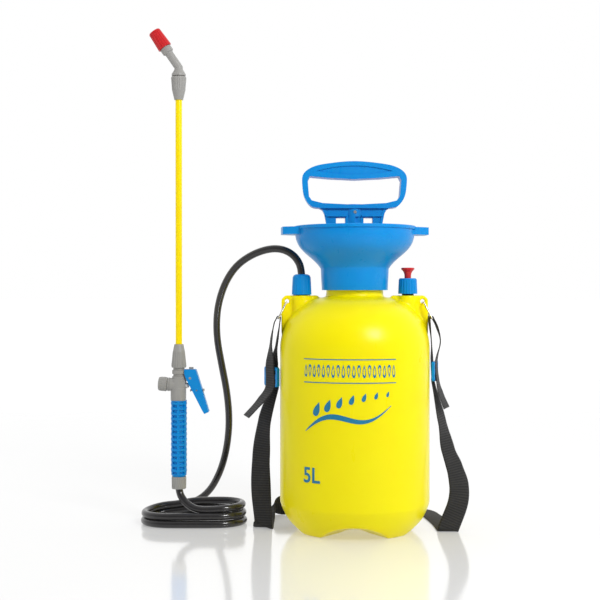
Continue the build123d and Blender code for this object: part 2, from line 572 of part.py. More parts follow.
def over_hook_bar(side):
    """Strap stations that wrap over a hook's bar, inner ply first."""
    bar = hook_frame(side).from_local_coords(Vector(0, HOOK_BAR_Y, 0))
    wrap_r = 2.35
    stations = []
    for degrees in (0, 60, 120, 180):
        a = math.radians(degrees)
        centre = (bar.X - side * wrap_r * math.cos(a), 0.0, bar.Z + wrap_r * math.sin(a))
        stations.append((centre, leaning(side * 90)))
    return stations


def make_straps():
    """Carrying strap: a left and a right end and the stretch behind the tank."""
    out_x = -0.883 * PLY_REACH
    out_y = -0.469 * PLY_REACH
    left = [
        ((-102.5, 84.0, 10.4), leaning(-35, 40)),
        ((-108.0, 68.0, 5.8), leaning(-22, 16)),
        ((-110.0, 45.0, 1.5), leaning(-12, 1)),
        ((-110.5, 20.0, 0.9), leaning(-20)),
        ((-110.3, 4.0, 0.9), leaning(-32)),
        ((-110.2, -0.6, 2.6), leaning(-33)),
        ((-110.4, -1.0, 7.0), leaning(-30)),
        ((-113.1, -1.0, 49.2), leaning(-16)),
        ((-112.9, -1.0, 87.9), leaning(-30)),
        ((-108.6, -1.0, 131.3), leaning(-50)),
        ((-100.0 - out_x, -out_y, 169.0), leaning(-62)),
        ((-100.0 - FOLD_REACH * out_x, -FOLD_REACH * out_y, 177.5), leaning(-62)),
        ((-100.0 - FOLD_REACH * out_x, -FOLD_REACH * out_y, 190.0), leaning(-62)),
        ((-100.0 - out_x, -out_y, 198.5), leaning(-64)),
        ((-94.2, 0.0, 222.0), leaning(-84)),
        *over_hook_bar(-1),
        ((-97.2, 0.0, 247.8), leaning(-90)),
        ((-100.9, 0.0, 226.0), leaning(-84)),
        ((-100.0 + out_x, out_y, 196.5), leaning(-64)),
        ((-100.0 + out_x, out_y, 171.0), leaning(-62)),
        ((-111.0, -5.0, 158.0), leaning(-64)),
        ((-120.5, -7.5, 147.0), leaning(-68)),
        ((-130.5, -10.0, 136.5), leaning(-68)),
    ]
    save("strap_left", webbing(left))
    right = [
        ((93.0, 112.0, 0.95), leaning(42)),
        ((101.0, 82.0, 0.95), leaning(22)),
        ((105.5, 50.0, 0.9), leaning(8)),
        ((108.5, 20.0, 0.9), leaning(3)),
        ((109.6, -8.0, 0.9), leaning(0)),
        ((109.8, -18.0, 0.9), leaning(0)),
        ((110.0, -21.5, 2.6), leaning(0)),
        ((112.0, -21.6, 8.0), leaning(2)),
        ((122.5, -17.0, 34.0), leaning(8)),
        ((124.5, -12.0, 54.0), leaning(14)),
        ((119.5, -7.0, 76.0), leaning(30)),
        ((112.5, -3.0, 96.0), leaning(42)),
        ((105.4, 0.0, 130.0), leaning(60)),
        ((97.6 - PLY_REACH, 0.0, 176.5), leaning(76)),
        ((97.8 - FOLD_REACH * PLY_REACH, 0.0, 185.0), leaning(76)),
        ((97.2 - FOLD_REACH * PLY_REACH, 0.0, 196.5), leaning(76)),
        ((95.9 - PLY_REACH, 0.0, 205.0), leaning(78)),
        ((92.6, 0.0, 226.0), leaning(84)),
        *over_hook_bar(1),
        ((99.2, 0.0, 243.8), leaning(90)),
        ((103.4, 0.0, 226.0), leaning(84)),
        ((95.9 + PLY_REACH, 0.0, 202.5), leaning(78)),
        ((97.6 + PLY_REACH, 0.0, 178.5), leaning(76)),
        ((104.0, -2.0, 163.0), leaning(70)),
        ((110.5, -4.0, 146.0), leaning(66)),
    ]
    save("strap_right", webbing(right))
    back = [((-102.5, 84.0, 10.4), leaning(-35, 40))]
    # Behind the tank the webbing stands on its edge at the left and lies down flat towards the right.
    for degrees, reach, height, lean in ((132, 121, 13.4, 80), (122, 121, 13.0, 72), (110, 121, 12.0, 62),
                                         (98, 122, 10.2, 48), (86, 124, 7.6, 32), (74, 128, 4.6, 16), (62, 136, 1.6, 2)):
        a = math.radians(degrees)
        back.append(((reach * math.cos(a), reach * math.sin(a), height), leaning(degrees, lean)))
    back.append(((93.0, 112.0, 0.95), leaning(42)))
    save("strap_back", webbing(back))
    make_adjuster((-100.0, 0.0, 183.6), leaning(-62), "left")
    make_adjuster((96.8, 0.0, 190.5), leaning(76), "right")


# ---- Hose ----
def make_hose():
    """Free hose: the run from the tank, the coil's outer shape and the tail into the wand."""
    save("hose_run", tube(HOSE_RUN, HOSE_R, "hose_run"))
    save("hose_tail", tube(HOSE_TAIL, HOSE_R, "hose_tail"))
    outer = SlotOverall(2 * COIL_HALF_LENGTH, 2 * COIL_HALF_DEPTH)
    inner = SlotOverall(2 * (COIL_HALF_LENGTH - COIL_BAND), 2 * (COIL_HALF_DEPTH - COIL_BAND))
    coil = Pos(COIL_CENTRE[0], COIL_CENTRE[1], 0.1) * extrude(outer - inner, COIL_HEIGHT)
    save("hose_coil", coil)


save("tank", make_tank())
save("neck_gasket", ring(NECK_BORE_R, NECK_R, NECK_TOP_Z, 316.0))
save("funnel", make_funnel())
make_outlet()
make_relief()
make_pump()
make_handle()
make_grip()
make_valve()
make_trigger()
make_lance()
make_nozzle()
make_hook(-1, "left")
make_hook(1, "right")
make_straps()
make_hose()
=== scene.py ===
import json
import math
import bmesh
import bpy
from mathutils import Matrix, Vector


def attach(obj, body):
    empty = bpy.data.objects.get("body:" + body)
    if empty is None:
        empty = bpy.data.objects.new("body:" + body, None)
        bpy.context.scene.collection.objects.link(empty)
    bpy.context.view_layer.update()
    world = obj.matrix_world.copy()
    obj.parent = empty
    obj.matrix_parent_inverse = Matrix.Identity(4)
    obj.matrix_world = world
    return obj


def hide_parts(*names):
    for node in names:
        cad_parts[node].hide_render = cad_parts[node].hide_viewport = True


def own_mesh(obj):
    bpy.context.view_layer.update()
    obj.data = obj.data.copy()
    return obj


# Pump sprayer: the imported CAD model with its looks. Everything is in metres in the part's own frame:
# the origin is on the floor under the tank's axis, +Z is up and -Y is the front.
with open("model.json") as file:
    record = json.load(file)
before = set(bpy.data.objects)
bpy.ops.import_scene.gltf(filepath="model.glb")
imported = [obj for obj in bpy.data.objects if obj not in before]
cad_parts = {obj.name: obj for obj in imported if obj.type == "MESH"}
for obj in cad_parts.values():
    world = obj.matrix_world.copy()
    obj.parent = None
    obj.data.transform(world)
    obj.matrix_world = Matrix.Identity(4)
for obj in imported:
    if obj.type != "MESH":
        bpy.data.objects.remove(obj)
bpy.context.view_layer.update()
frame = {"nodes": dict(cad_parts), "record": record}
scene = bpy.context.scene
MM = 0.001

# ---- Camera ----
CAMERA_PLACE = (-0.066, -1.448, 0.2857)
CAMERA_DROP_DEG = 0.38
CAMERA_LENS_MM = 72.0

# ---- Hose, in millimetres ----
HOSE_R = 4.5
HOSE_RUN = [
    (-64.0, 0.0, 300.0),
    (-64.0, 0.0, 314.5),
    (-70.8, 1.0, 327.6),
    (-81.8, 3.5, 335.8),
    (-95.0, 8.0, 338.8),
    (-110.0, 14.0, 336.9),
    (-126.5, 22.0, 330.6),
    (-142.5, 31.0, 320.0),
    (-155.0, 39.5, 304.5),
    (-164.5, 48.0, 284.0),
    (-170.5, 57.0, 259.0),
    (-171.0, 65.5, 228.0),
    (-165.5, 74.5, 194.0),
    (-159.0, 83.0, 158.0),
    (-156.5, 91.5, 122.0),
    (-159.5, 99.5, 90.0),
    (-166.0, 107.0, 62.5),
    (-175.0, 114.0, 41.0),
    (-185.0, 122.0, 25.0),
    (-199.0, 129.5, 12.5),
    (-216.5, 131.0, 6.0),
    (-232.0, 122.5, 4.6),
    (-241.0, 107.0, 4.6),
    (-241.0, 89.5, 4.6),
    (-231.5, 74.5, 4.6),
    (-215.5, 67.0, 4.6),
    (-197.5, 66.5, 4.6),
    (-179.0, 65.5, 4.6),
]
HOSE_TAIL = [
    (-171.5, 7.0, 21.4),
    (-183.5, 7.2, 21.0),
    (-194.0, 9.0, 22.2),
    (-203.5, 12.8, 27.0),
    (-210.5, 17.0, 34.5),
    (-214.0, 19.8, 42.0),
    (-214.2, 20.0, 50.0),
]
COIL_CENTRE_X = -196.7
COIL_STRAIGHT = 30.6
POINTS_PER_TURN = 16
COIL_FIRST_TURN = 0.117
COIL_LAST_TURN = 2.38
# How far round, then the coil's end radius, its middle in Y and its height there. The turns start in
# the middle of the back and go clockwise seen from above.
COIL_STAGES = [
    (0.00, 32.5, 33.2, 4.6),
    (0.25, 32.0, 33.2, 4.6),
    (0.50, 32.0, 33.4, 4.6),
    (0.75, 32.2, 33.6, 4.6),
    (0.90, 31.6, 33.6, 9.5),
    (1.00, 31.2, 33.6, 14.0),
    (1.25, 31.0, 33.6, 14.0),
    (1.50, 30.8, 34.2, 13.4),
    (1.75, 31.6, 33.8, 13.4),
    (1.92, 30.2, 34.0, 18.5),
    (2.00, 29.8, 34.0, 23.0),
    (2.25, 30.2, 34.4, 23.8),
    (2.50, 28.6, 35.4, 21.2),
]

# ---- Webbing, in millimetres ----
STRAP_WIDTH = 25.0
STRAP_HALF_THICK = 0.68
HOOK_BAR_Y = 22.9
LUG_HOLE_X = 81.6
LUG_HOLE_Z = 274.6
RIB_PITCH = 1.5
PLY_REACH = 2.75
FOLD_REACH = 1.25

# ---- Print on the tank, in millimetres of arc and height ----
TANK_R = 90.0
PRINT_MIDDLE_DEG = -7.0
PRINT_THICK = 0.24
PRINT_PROUD = 0.14
PRINT_STRIP = 3.0
BAND_HALF = 56.5
BAND_TOP_Z = 208.9
BAND_BOTTOM_Z = 182.3
CAPACITY_X = (-56.9, -34.0)
CAPACITY_Z = (66.4, 84.4)


# ---- Surface grain of moulded plastic, in metres ----
SINK_WAVE_DEPTH = 0.00004
GRAIN_DEPTH = 0.00002


# ---- Node helpers ----
def new_material(name):
    """A material with an empty principled shader and its node tree."""
    material = bpy.data.materials.new(name)
    material.use_nodes = True
    tree = material.node_tree
    shader = tree.nodes["Principled BSDF"]
    return material, tree, shader


def place(tree, scale=(1.0, 1.0, 1.0), kind="Object"):
    """Texture coordinates in the part's frame, stretched."""
    coordinates = tree.nodes.new("ShaderNodeTexCoord")
    mapping = tree.nodes.new("ShaderNodeMapping")
    mapping.inputs["Scale"].default_value = scale
    tree.links.new(coordinates.outputs[kind], mapping.inputs["Vector"])
    return mapping.outputs["Vector"]


def noise(tree, vector, scale, detail=3.0, roughness=0.55, distortion=0.0):
    """Noise from 0 to 1."""
    node = tree.nodes.new("ShaderNodeTexNoise")
    node.inputs["Scale"].default_value = scale
    node.inputs["Detail"].default_value = detail
    node.inputs["Roughness"].default_value = roughness
    node.inputs["Distortion"].default_value = distortion
    tree.links.new(vector, node.inputs["Vector"])
    return node.outputs["Fac"]


def between(tree, value, low, high, out_low=0.0, out_high=1.0):
    """A value moved from one range to another and kept inside it."""
    node = tree.nodes.new("ShaderNodeMapRange")
    node.inputs["From Min"].default_value = low
    node.inputs["From Max"].default_value = high
    node.inputs["To Min"].default_value = out_low
    node.inputs["To Max"].default_value = out_high
    tree.links.new(value, node.inputs["Value"])
    return node.outputs["Result"]


def math_node(tree, operation, first, second=None):
    """One arithmetic step on outputs or plain numbers."""
    node = tree.nodes.new("ShaderNodeMath")
    node.operation = operation
    for socket, value in zip(node.inputs, (first, second)):
        if value is None:
            continue
        if isinstance(value, (int, float)):
            socket.default_value = value
        else:
            tree.links.new(value, socket)
    return node.outputs["Value"]


def mix_colour(tree, fac, first, second):
    """A colour between two colours or outputs."""
    node = tree.nodes.new("ShaderNodeMix")
    node.data_type = "RGBA"
    tree.links.new(fac, node.inputs["Factor"])
    for socket, value in ((node.inputs[6], first), (node.inputs[7], second)):
        if isinstance(value, tuple):
            socket.default_value = (*value, 1.0)
        else:
            tree.links.new(value, socket)
    return node.outputs[2]


def bump(tree, height, strength, distance, under=None):
    """A bump, over another bump if one is given."""
    node = tree.nodes.new("ShaderNodeBump")
    node.inputs["Strength"].default_value = strength
    node.inputs["Distance"].default_value = distance
    tree.links.new(height, node.inputs["Height"])
    if under is not None:
        tree.links.new(under, node.inputs["Normal"])
    return node.outputs["Normal"]


# ---- Materials ----
def moulded_plastic(name, colour, dark, rough, soft=0.0, shine=0.28):
    """Injection-moulded plastic: cloudy colour, fine surface grain, handling marks and slight sink waves."""
    material, tree, shader = new_material(name)
    vector = place(tree)
    cloud = noise(tree, vector, 22.0, 4.0)
    speck = noise(tree, vector, 420.0, 2.0)
    tone = mix_colour(tree, between(tree, cloud, 0.35, 0.7), dark, colour)
    lighter = tuple(min(1.0, c * 1.07 + 0.004) for c in colour)
    tone = mix_colour(tree, between(tree, speck, 0.62, 0.8, 0.0, 0.35), tone, lighter)
    tree.links.new(tone, shader.inputs["Base Color"])
    scuff = noise(tree, place(tree, (1.0, 1.0, 0.18)), 130.0, 5.0, 0.7, 0.6)
    tree.links.new(between(tree, scuff, 0.3, 0.75, rough - 0.05, rough + 0.1), shader.inputs["Roughness"])
    shader.inputs["IOR"].default_value = 1.49
    shader.inputs["Specular IOR Level"].default_value = shine
    if soft:
        shader.inputs["Subsurface Weight"].default_value = soft
        shader.inputs["Subsurface Radius"].default_value = colour
        shader.inputs["Subsurface Scale"].default_value = 0.004
    waves = bump(tree, noise(tree, vector, 45.0, 1.0), 0.35, SINK_WAVE_DEPTH)
    fine = bump(tree, noise(tree, vector, 2600.0, 2.0), 0.5, GRAIN_DEPTH, waves)
    tree.links.new(fine, shader.inputs["Normal"])
    return material


def tank_plastic():
    """Blow-moulded polythene: milky yellow, satin, with a mould parting line down its left and right."""
    material, tree, shader = new_material("blow_moulded_yellow")
    vector = place(tree)
    cloud = noise(tree, vector, 9.0, 3.0)
    tone = mix_colour(tree, between(tree, cloud, 0.3, 0.72), (0.98, 0.78, 0.0), (1.0, 0.83, 0.0))
    tree.links.new(tone, shader.inputs["Base Color"])
    rub = noise(tree, place(tree, (1.0, 1.0, 0.25)), 60.0, 5.0, 0.65, 0.4)
    tree.links.new(between(tree, rub, 0.3, 0.75, 0.27, 0.33), shader.inputs["Roughness"])
    shader.inputs["IOR"].default_value = 1.5
    shader.inputs["Subsurface Weight"].default_value = 0.35
    shader.inputs["Subsurface Radius"].default_value = (1.0, 0.75, 0.08)
    shader.inputs["Subsurface Scale"].default_value = 0.012
    shader.inputs["Specular IOR Level"].default_value = 0.22
    coordinates = tree.nodes.new("ShaderNodeTexCoord")
    parts = tree.nodes.new("ShaderNodeSeparateXYZ")
    tree.links.new(coordinates.outputs["Object"], parts.inputs["Vector"])
    off_seam = math_node(tree, "ABSOLUTE", parts.outputs["Y"])
    seam = between(tree, off_seam, 0.00025, 0.0008, 1.0, 0.0)
    wall = bump(tree, noise(tree, place(tree, (1.0, 1.0, 0.6)), 16.0, 1.0), 0.4, 0.0004)
    orange_peel = bump(tree, noise(tree, vector, 700.0, 2.0), 0.25, 0.00002, wall)
    line = bump(tree, seam, 0.8, 0.0004, orange_peel)
    tree.links.new(line, shader.inputs["Normal"])
    return material


def hose_rubber():
    """Shiny black hose with a faint extrusion grain and dust."""
    material, tree, shader = new_material("hose_black")
    vector = place(tree)
    dust = noise(tree, vector, 90.0, 5.0, 0.7)
    tone = mix_colour(tree, between(tree, dust, 0.45, 0.8), (0.012, 0.011, 0.012), (0.022, 0.020, 0.021))
    tree.links.new(tone, shader.inputs["Base Color"])
    smear = noise(tree, vector, 240.0, 4.0, 0.6, 0.5)
    tree.links.new(between(tree, smear, 0.3, 0.75, 0.2, 0.27), shader.inputs["Roughness"])
    shader.inputs["IOR"].default_value = 1.52
    shader.inputs["Coat Weight"].default_value = 0.35
    shader.inputs["Coat Roughness"].default_value = 0.1
    shader.inputs["Sheen Weight"].default_value = 0.05
    fine = bump(tree, noise(tree, vector, 1500.0, 2.0), 0.25, 0.00001)
    tree.links.new(fine, shader.inputs["Normal"])
    return material


def soft_rubber():
    """Matte black seal rubber."""
    material, tree, shader = new_material("seal_rubber")
    vector = place(tree)
    bloom = noise(tree, vector, 300.0, 4.0, 0.7)
    tone = mix_colour(tree, between(tree, bloom, 0.4, 0.8), (0.014, 0.014, 0.015), (0.05, 0.05, 0.052))
    tree.links.new(tone, shader.inputs["Base Color"])
    tree.links.new(between(tree, bloom, 0.3, 0.8, 0.5, 0.75), shader.inputs["Roughness"])
    tree.links.new(bump(tree, noise(tree, vector, 1800.0, 3.0), 0.5, 0.00004), shader.inputs["Normal"])
    return material


def webbing_fabric():
    """Black polypropylene webbing: crosswise ribs with lengthwise yarns between them."""
    material, tree, shader = new_material("webbing_black")
    across = place(tree, kind="UV")
    wear = noise(tree, place(tree), 60.0, 5.0, 0.65)
    yarn = tree.nodes.new("ShaderNodeTexWave")
    yarn.bands_direction = "Y"
    yarn.inputs["Scale"].default_value = 330.0
    yarn.inputs["Distortion"].default_value = 0.6
    yarn.inputs["Detail"].default_value = 1.0
    tree.links.new(across, yarn.inputs["Vector"])
    weft = tree.nodes.new("ShaderNodeTexWave")
    weft.bands_direction = "X"
    weft.inputs["Scale"].default_value = 314.159 / RIB_PITCH / 2
    weft.inputs["Distortion"].default_value = 0.3
    tree.links.new(across, weft.inputs["Vector"])
    cloth = math_node(tree, "MULTIPLY", yarn.outputs["Fac"], weft.outputs["Fac"])
    # Painted shade: where the weave's relief is low, in the grooves between ribs and yarns, the colour is
    # darker, and the rib tops are lighter.
    weave_tone_painted_groove_shade = mix_colour(tree, cloth, (0.006, 0.006, 0.006), (0.030, 0.028, 0.027))
    tone = mix_colour(tree, between(tree, wear, 0.5, 0.85, 0.0, 0.5), weave_tone_painted_groove_shade, (0.035, 0.032, 0.031))
    tree.links.new(tone, shader.inputs["Base Color"])
    tree.links.new(between(tree, cloth, 0.0, 1.0, 0.82, 0.58), shader.inputs["Roughness"])
    shader.inputs["Sheen Weight"].default_value = 0.1
    shader.inputs["Sheen Roughness"].default_value = 0.45
    fuzz = bump(tree, noise(tree, place(tree), 2400.0, 3.0), 0.4, 0.00006)
    tree.links.new(bump(tree, cloth, 0.8, 0.00012, fuzz), shader.inputs["Normal"])
    return material


def zinc_steel():
    """Zinc-plated wire and pins with drawing lines and dull spots."""
    material, tree, shader = new_material("zinc_steel")
    vector = place(tree)
    spot = noise(tree, vector, 380.0, 5.0, 0.65)
    tone = mix_colour(tree, between(tree, spot, 0.3, 0.75), (0.46, 0.44, 0.42), (0.78, 0.77, 0.76))
    tree.links.new(tone, shader.inputs["Base Color"])
    shader.inputs["Metallic"].default_value = 1.0
    lines = noise(tree, place(tree, (1.0, 1.0, 12.0)), 500.0, 3.0)
    tree.links.new(between(tree, lines, 0.3, 0.75, 0.18, 0.38), shader.inputs["Roughness"])
    tree.links.new(bump(tree, lines, 0.3, 0.00003), shader.inputs["Normal"])
    return material


def print_ink():
    """Screen-printed blue ink, slightly uneven where the screen left it."""
    material, tree, shader = new_material("print_ink")
    vector = place(tree)
    patch = noise(tree, vector, 340.0, 5.0, 0.7)
    tone = mix_colour(tree, between(tree, patch, 0.35, 0.8), (0.0, 0.15, 0.30), (0.005, 0.21, 0.36))
    tree.links.new(tone, shader.inputs["Base Color"])
    tree.links.new(between(tree, patch, 0.3, 0.8, 0.3, 0.45), shader.inputs["Roughness"])
    tree.links.new(bump(tree, noise(tree, vector, 900.0, 3.0), 0.4, 0.00003), shader.inputs["Normal"])
    return material


def floor_acrylic():
    """Plain white glossy floor, a little lit from below."""
    material, tree, shader = new_material("floor_white")
    vector = place(tree)
    haze = noise(tree, vector, 3.0, 2.0)
    tone = mix_colour(tree, haze, (0.44, 0.44, 0.44), (0.46, 0.46, 0.46))
    tree.links.new(tone, shader.inputs["Base Color"])
    tree.links.new(between(tree, haze, 0.3, 0.7, 0.09, 0.12), shader.inputs["Roughness"])
    shader.inputs["IOR"].default_value = 2.4
    shader.inputs["Emission Color"].default_value = (1.0, 1.0, 1.0, 1.0)
    shader.inputs["Emission Strength"].default_value = 0.30
    return material


BLUE = (0.0, 0.25, 0.66)
BLUE_DARK = (0.0, 0.235, 0.63)
RED = (0.60, 0.018, 0.022)
RED_DARK = (0.54, 0.015, 0.018)
looks = {
    "yellow_shell": tank_plastic(),
    "blue_plastic": moulded_plastic("blue_plastic", BLUE, BLUE_DARK, 0.3, soft=0.06),
    "grey_plastic": moulded_plastic("grey_plastic", (0.33, 0.325, 0.31), (0.30, 0.295, 0.28), 0.4, shine=0.4),
    "red_plastic": moulded_plastic("red_plastic", RED, RED_DARK, 0.26, shine=0.4),
    "white_plastic": moulded_plastic("white_plastic", (0.80, 0.80, 0.77), (0.72, 0.72, 0.68), 0.38),
    "yellow_tube": moulded_plastic("yellow_tube", (1.0, 0.76, 0.0), (0.99, 0.72, 0.0), 0.24, soft=0.15),
    "black_rubber": soft_rubber(),
    "black_hose": hose_rubber(),
    "black_webbing": webbing_fabric(),
    "steel": zinc_steel(),
}
ink = print_ink()


def dress_cad_nodes():
    """Give every CAD node the material of its slot."""
    for entry in frame["record"]["subparts"]:
        node = frame["nodes"][entry["node"]]
        mesh = node.data
        mesh.materials.clear()
        mesh.materials.append(looks[entry["material_slot"]])


def link(name, data):
    """A new object in the scene."""
    piece = bpy.data.objects.new(name, data)
    scene.collection.objects.link(piece)
    return piece


# ---- Camera, floor and lights ----
def make_camera():
    """Camera at the viewing angle of the front view."""
    data = bpy.data.cameras.new("camera")
    data.lens = CAMERA_LENS_MM
    data.sensor_width = 36.0
    data.clip_start = 0.01
    camera = link("camera", data)
    camera.location = CAMERA_PLACE
    camera.rotation_euler = (math.radians(90.0 - CAMERA_DROP_DEG), 0, 0)
    scene.camera = camera


def area_light(name, place_at, aim, width, height, power, mirrored=False):
    """A soft box that faces a point, seen in reflections or not."""
    data = bpy.data.lights.new(name, "AREA")
    data.shape = "RECTANGLE"
    data.size = width
    data.size_y = height
    data.energy = power
    light = link(name, data)
    light.location = place_at
    light.visible_camera = False
    light.visible_glossy = mirrored
    facing = Vector(aim) - Vector(place_at)
    light.rotation_euler = facing.to_track_quat("-Z", "Y").to_euler()


def make_stage():
    """Glossy white floor, white surroundings and four soft boxes."""
    mesh = bpy.data.meshes.new("floor")
    build = bmesh.new()
    bmesh.ops.create_grid(build, x_segments=8, y_segments=8, size=40.0)
    build.to_mesh(mesh)
    build.free()
    floor = link("floor", mesh)
    floor.data.materials.append(floor_acrylic())
    make_surroundings()
    area_light("key", (0.62, -1.05, 0.98), (0.03, 0.0, 0.2), 0.42, 0.42, 13.5, True)
    area_light("side_left", (-1.25, -0.35, 0.55), (-0.1, 0.0, 0.28), 0.5, 1.3, 3.5)
    area_light("side_right", (1.25, -0.2, 0.55), (0.0, 0.0, 0.28), 0.4, 1.3, 2.0)
    area_light("top", (0.0, 0.25, 1.5), (0.0, 0.0, 0.2), 1.2, 1.2, 4.0)


def make_surroundings():
    """White surroundings to look at, which light the object more from behind than from the front."""
    world = bpy.data.worlds.new("studio")
    world.use_nodes = True
    tree = world.node_tree
    background = tree.nodes["Background"]
    background.inputs["Color"].default_value = (1.0, 1.0, 1.0, 1.0)
    coordinates = tree.nodes.new("ShaderNodeTexCoord")
    parts = tree.nodes.new("ShaderNodeSeparateXYZ")
    tree.links.new(coordinates.outputs["Generated"], parts.inputs["Vector"])
    lit = between(tree, parts.outputs["Y"], -0.9, 0.5, 0.22, 0.95)
    seen = tree.nodes.new("ShaderNodeLightPath")
    choice = tree.nodes.new("ShaderNodeMix")
    choice.data_type = "FLOAT"
    tree.links.new(seen.outputs["Is Camera Ray"], choice.inputs[0])
    tree.links.new(lit, choice.inputs[2])
    choice.inputs[3].default_value = 1.0
    tree.links.new(choice.outputs[0], background.inputs["Strength"])
    scene.world = world


# ---- Hose ----
def oval(turns, end_r, middle_y):
    """A point on the coil's long oval, so many turns clockwise from the middle of its back."""
    straight = COIL_STRAIGHT
    bend = math.pi * end_r
    along = (turns % 1.0) * (4 * straight + 2 * bend)
    if along < straight:
        x, y = along, end_r
    elif along < straight + bend:
        angle = (along - straight) / end_r
        x, y = straight + end_r * math.sin(angle), end_r * math.cos(angle)
    elif along < 3 * straight + bend:
        x, y = 2 * straight + bend - along, -end_r
    elif along < 3 * straight + 2 * bend:
        angle = (along - 3 * straight - bend) / end_r
        x, y = -straight - end_r * math.sin(angle), -end_r * math.cos(angle)
    else:
        x, y = along - 4 * straight - 2 * bend, end_r
    return COIL_CENTRE_X + x, middle_y + y


def coil_route():
    """Control points of the coil's turns."""
    points = []
    steps = int((COIL_LAST_TURN - COIL_FIRST_TURN) * POINTS_PER_TURN) + 1
    for i in range(steps):
        turns = COIL_FIRST_TURN + i / POINTS_PER_TURN
        for low, high in zip(COIL_STAGES, COIL_STAGES[1:]):
            if low[0] <= turns <= high[0]:
                share = (turns - low[0]) / (high[0] - low[0])
                share = share * share * (3 - 2 * share)
                end_r, middle_y, height = [a + share * (b - a) for a, b in zip(low[1:], high[1:])]
        x, y = oval(turns, end_r, middle_y)
        points.append((x, y, height))
    return points


def make_hose():
    """One free hose from the tank's nut, through the coil, to the wand's nut."""
    data = bpy.data.curves.new("hose", "CURVE")
    data.dimensions = "3D"
    spline = data.splines.new("NURBS")
    route = [*HOSE_RUN, *coil_route(), *HOSE_TAIL]
    spline.points.add(len(route) - 1)
    for point, (x, y, z) in zip(spline.points, route):
        point.co = (x * MM, y * MM, z * MM, 1.0)
    spline.order_u = 3
    spline.use_endpoint_u = True
    data.bevel_depth = HOSE_R * MM
    data.bevel_resolution = 7
    data.resolution_u = 8
    data.use_fill_caps = True
    data.materials.append(looks["black_hose"])
    hose = link("hose", data)
    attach(hose, "sprayer")
    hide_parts("hose_run", "hose_coil", "hose_tail")


# ---- Webbing ----
def leaning(degrees_from_x, lean=0.0):
    """A width direction: turned about Z from +X, then raised out of the floor plane."""
    a = math.radians(degrees_from_x)
    b = math.radians(lean)
    return Vector((math.cos(a) * math.cos(b), math.sin(a) * math.cos(b), math.sin(b)))


def over_hook_bar(side):
    """Strap stations that wrap over a hook's bar, inner ply first."""
    bar_x = side * (LUG_HOLE_X + 0.4524 * HOOK_BAR_Y)
    bar_z = LUG_HOLE_Z - 0.8918 * HOOK_BAR_Y
    wrap_r = 2.3
    stations = []
    for degrees in (0, 30, 60, 90, 120, 150, 180):
        a = math.radians(degrees)
        centre = (bar_x - side * wrap_r * math.cos(a), 0.0, bar_z + wrap_r * math.sin(a))
        stations.append((centre, leaning(side * 90)))
    return stations


def strap_line(stations):
    """A smooth line through the stations as (centre, width direction) about twice per rib."""
    centres = [Vector(c) for c, _ in stations]
    widths = [w.copy() for _, w in stations]
    for i in range(1, len(widths)):
        if widths[i].dot(widths[i - 1]) < 0:
            widths[i].negate()
    knots = [0.0]
    for a, b in zip(centres, centres[1:]):
        knots.append(knots[-1] + math.sqrt((b - a).length))
    slopes = []
    for i in range(len(centres)):
        low = max(i - 1, 0)
        high = min(i + 1, len(centres) - 1)
        slopes.append((centres[high] - centres[low]) / (knots[high] - knots[low]))
    line = []
    step = RIB_PITCH / 4
    for i in range(len(centres) - 1):
        span = knots[i + 1] - knots[i]
        count = max(1, round((centres[i + 1] - centres[i]).length / step))
        for k in range(count):
            t = k / count
            t2, t3 = t * t, t * t * t
            centre = (2 * t3 - 3 * t2 + 1) * centres[i] + (t3 - 2 * t2 + t) * span * slopes[i]
            centre += (3 * t2 - 2 * t3) * centres[i + 1] + (t3 - t2) * span * slopes[i + 1]
            share = t2 * (3 - 2 * t)
            line.append((centre, widths[i].lerp(widths[i + 1], share).normalized()))
    line.append((centres[-1], widths[-1]))
    return line


def make_strap(name, nodes, stations):
    """Ribbed webbing of even width with rounded selvedges, built round a smooth line."""
    line = strap_line(stations)
    across_steps = 14
    mesh = bpy.data.meshes.new(name)
    build = bmesh.new()
    uv_layer = build.loops.layers.uv.new("along")
    rings = []
    along = 0.0
    lengths = []
    for i, (centre, width) in enumerate(line):
        ahead = line[min(i + 1, len(line) - 1)][0]
        behind = line[max(i - 1, 0)][0]
        if i:
            along += (centre - line[i - 1][0]).length
        lengths.append(along)
        tangent = (ahead - behind).normalized()
        side = (width - tangent * width.dot(tangent)).normalized()
        normal = tangent.cross(side)
        rib = 0.09 * math.cos(2 * math.pi * along / RIB_PITCH)
        centre = centre.copy()
        dip = STRAP_WIDTH / 2 * abs(side.z) + STRAP_HALF_THICK * abs(normal.z)
        centre.z = max(centre.z, dip + 0.12)
        ring = []
        for face in (1, -1):
            for k in range(across_steps + 1):
                share = (k / across_steps * 2 - 1) * face
                selvedge = 1 - abs(share) ** 10
                thick = STRAP_HALF_THICK * max(selvedge, 0.0) ** 0.5
                if abs(share) < 0.9:
                    thick += face * rib
                spot = centre + side * share * STRAP_WIDTH / 2 + normal * face * thick
                if k in (0, across_steps) and face == -1:
                    continue
                ring.append((build.verts.new(spot * MM), share * STRAP_WIDTH / 2))
        rings.append(ring)
    count = len(rings[0])
    for i in range(len(rings) - 1):
        for k in range(count):
            m = (k + 1) % count
            corners = [rings[i][k], rings[i][m], rings[i + 1][m], rings[i + 1][k]]
            spots = [lengths[i], lengths[i], lengths[i + 1], lengths[i + 1]]
            face = build.faces.new([c[0] for c in corners])
            face.smooth = True
            for loop, corner, spot in zip(face.loops, corners, spots):
                loop[uv_layer].uv = (spot * MM, corner[1] * MM)
    build.faces.new([c[0] for c in reversed(rings[0])])
    build.faces.new([c[0] for c in rings[-1]])
    bmesh.ops.recalc_face_normals(build, faces=build.faces)
    build.to_mesh(mesh)
    build.free()
    mesh.materials.append(looks["black_webbing"])
    strap = link(name, mesh)
    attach(strap, "sprayer")
    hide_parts(*nodes)
    return strap


